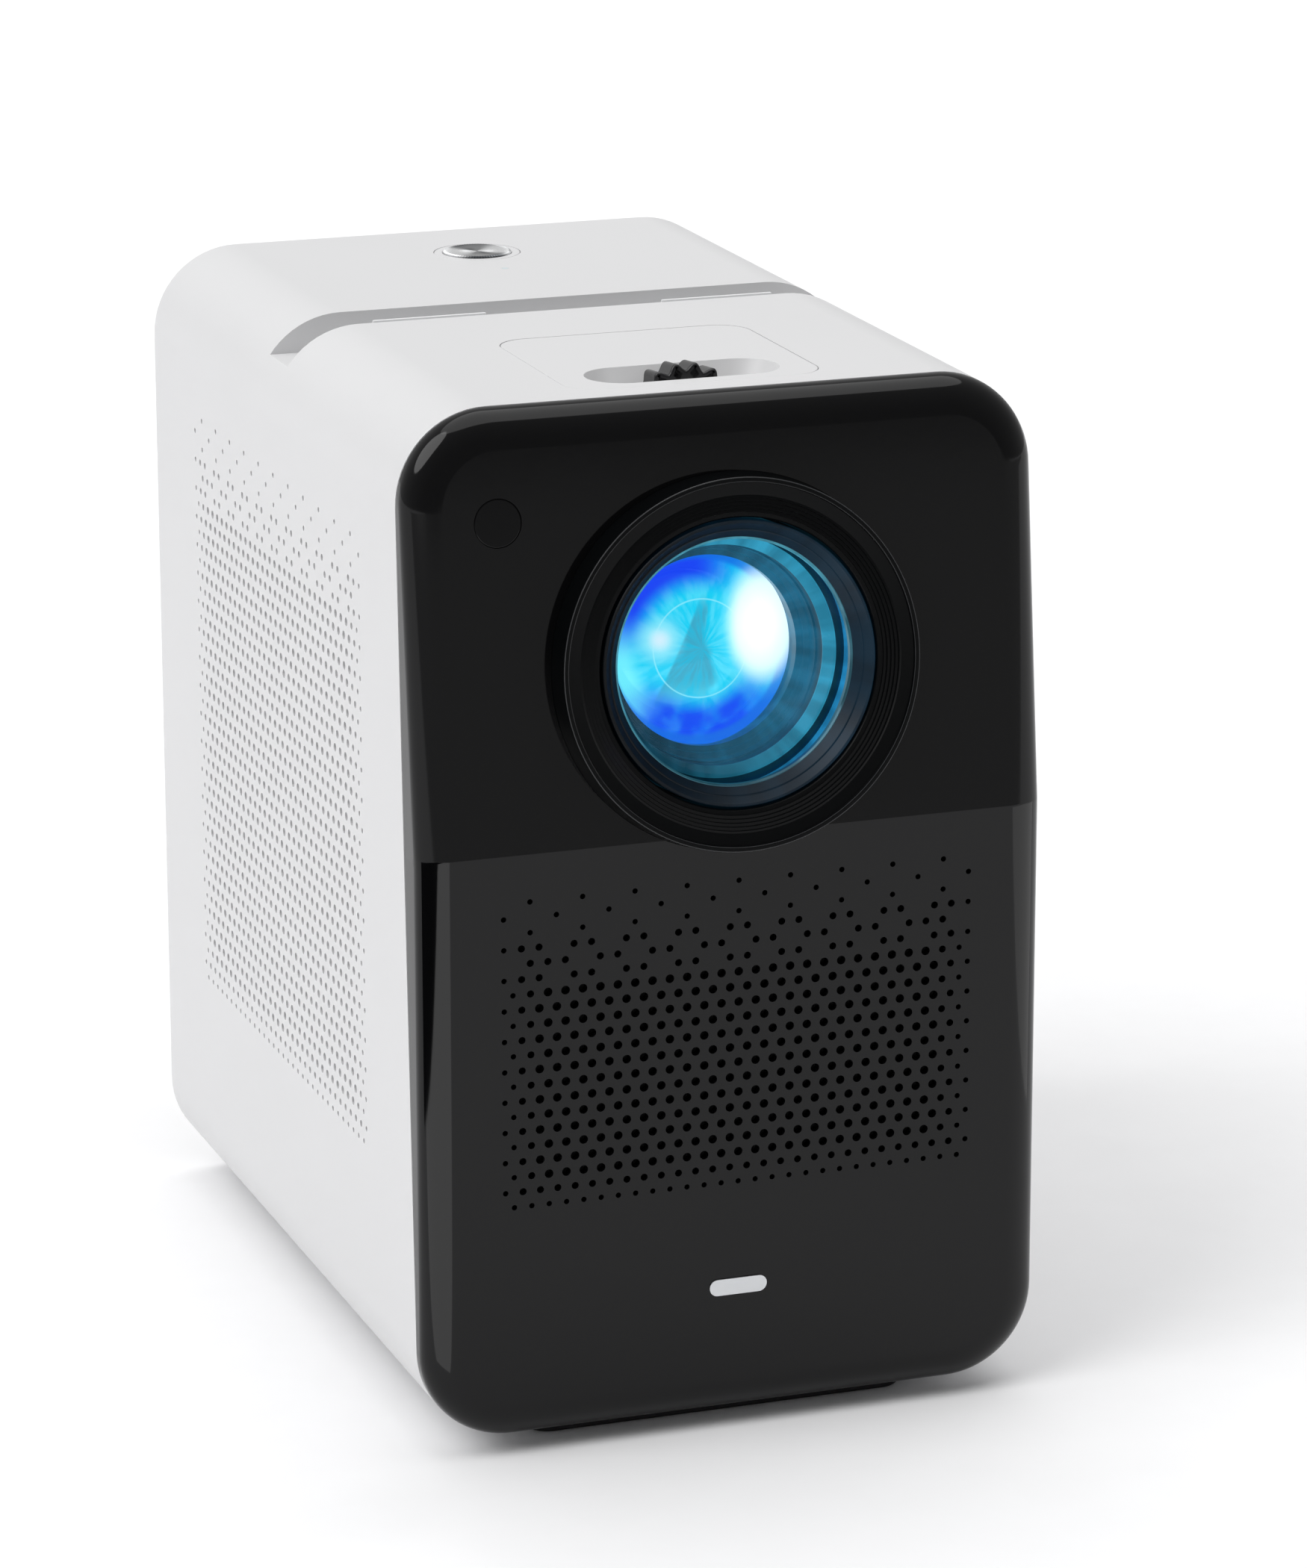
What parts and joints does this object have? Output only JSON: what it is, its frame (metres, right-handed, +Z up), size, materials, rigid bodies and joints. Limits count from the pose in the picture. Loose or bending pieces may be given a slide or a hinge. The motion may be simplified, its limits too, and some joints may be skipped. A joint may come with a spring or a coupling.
{
  "type": "home projector",
  "caption": "Upright box projector with a gloss front, a large tilted lens above a speaker grille, a tablet slot, a focus wheel and a power button on top",
  "frame": {"origin": "middle of the footprint, on the surface that the feet stand on", "axes": "+Z up, -Y is the way it projects, +X is right seen from the front"},
  "size_m": [0.15, 0.2252, 0.2444],
  "materials": {
    "white_plastic": "satin moulded",
    "black_gloss": "high gloss",
    "black_plastic": "fine satin",
    "smoke_plastic": "dark translucent",
    "grey_plastic": "satin",
    "rubber": "soft, matte",
    "white_rubber": "soft, satin",
    "brushed_metal": "spun, radial",
    "aluminium": "extruded, plain",
    "brass": "turned",
    "steel": "plated",
    "lens_glass": "coated, clear",
    "frosted_glass": "frosted",
    "cloth": "woven",
    "circuit_board": "solder mask, semi gloss",
    "cone_paper": "pressed pulp"
  },
  "bodies": {
    "housing": {"bezel_seal": "grey_plastic", "button_board": "circuit_board", "button_ring": "white_plastic", "button_switch": "black_plastic", "collimator_holder": "black_plastic", "collimator_lens": "lens_glass", "condenser_lens": "frosted_glass", "cover_screws": "steel", "data_port": "steel", "engine_housing": "black_plastic", "fan_frame": "black_plastic", "field_lens": "frosted_glass", "focus_panel": "white_plastic", "foot_front": "rubber", "foot_rear": "rubber", "front_badge": "aluminium", "front_bezel": "black_gloss", "guide_tube": "black_plastic", "heat_sink": "aluminium", "image_panel": "frosted_glass", "inlet_pins": "brass", "lamp_board": "circuit_board", "lens_collar": "black_plastic", "light_pipe": "frosted_glass", "main_board": "circuit_board", "main_shell": "white_plastic", "mains_inlet": "black_plastic", "power_board": "circuit_board", "power_parts": "grey_plastic", "rear_cover": "black_plastic", "receiver_board": "circuit_board", "receiver_window": "smoke_plastic", "ring_clip": "steel", "side_vent_left": "white_plastic", "side_vent_right": "white_plastic", "slot_pads": "white_rubber", "sound_jack": "black_plastic", "speaker_box": "black_plastic", "speaker_cloth": "cloth", "speaker_cone_left": "cone_paper", "speaker_cone_right": "cone_paper", "speaker_frame_left": "black_plastic", "speaker_frame_right": "black_plastic", "speaker_magnet_left": "steel", "speaker_magnet_right": "steel", "tripod_insert": "brass", "video_ports": "steel", "wheel_bracket": "black_plastic"},
    "ring": {"focus_ring": "grey_plastic"},
    "thumb_wheel": {"focus_wheel": "smoke_plastic", "focus_pinion": "grey_plastic", "wheel_shaft": "steel"},
    "lens_carriage": {"lens_barrel": "black_plastic", "lens_retainer": "black_plastic", "front_lens": "lens_glass", "inner_lens": "lens_glass", "rear_lens": "lens_glass", "drive_pins": "steel"},
    "button": {"power_button": "brushed_metal"},
    "fan": {"fan_rotor": "black_plastic"}
  },
  "joints": [
    {"name": "focus_ring_turn", "type": "hinge", "parent": "housing", "child": "ring", "pos_m": [0, -0.1012, 0.18228], "axis": [0, 0.9945, -0.1045], "range_deg": [-25.1, 25.1]},
    {"name": "focus_wheel_turn", "type": "hinge", "parent": "housing", "child": "thumb_wheel", "pos_m": [0, -0.06753, 0.23002], "axis": [0, 0.9945, -0.1045], "range_deg": [-125.5, 125.5]},
    {"name": "focus_slide", "type": "slide", "parent": "housing", "child": "lens_carriage", "axis": [0, -0.9945, 0.1045], "range_m": [-0.002, 0.002]},
    {"name": "power_press", "type": "slide", "parent": "housing", "child": "button", "axis": [0, 0, -1], "range_m": [0, 0.001], "stiffness_N_per_m": 400},
    {"name": "fan_spin", "type": "hinge", "parent": "housing", "child": "fan", "pos_m": [0, 0.09209, 0.164], "axis": [0, 1, 0], "continuous": true}
  ],
  "couplings": [
    {"joint": "focus_ring_turn", "follows": "focus_slide", "rad_per_m": 218.17},
    {"joint": "focus_wheel_turn", "follows": "focus_slide", "rad_per_m": -1090.8}
  ]
}
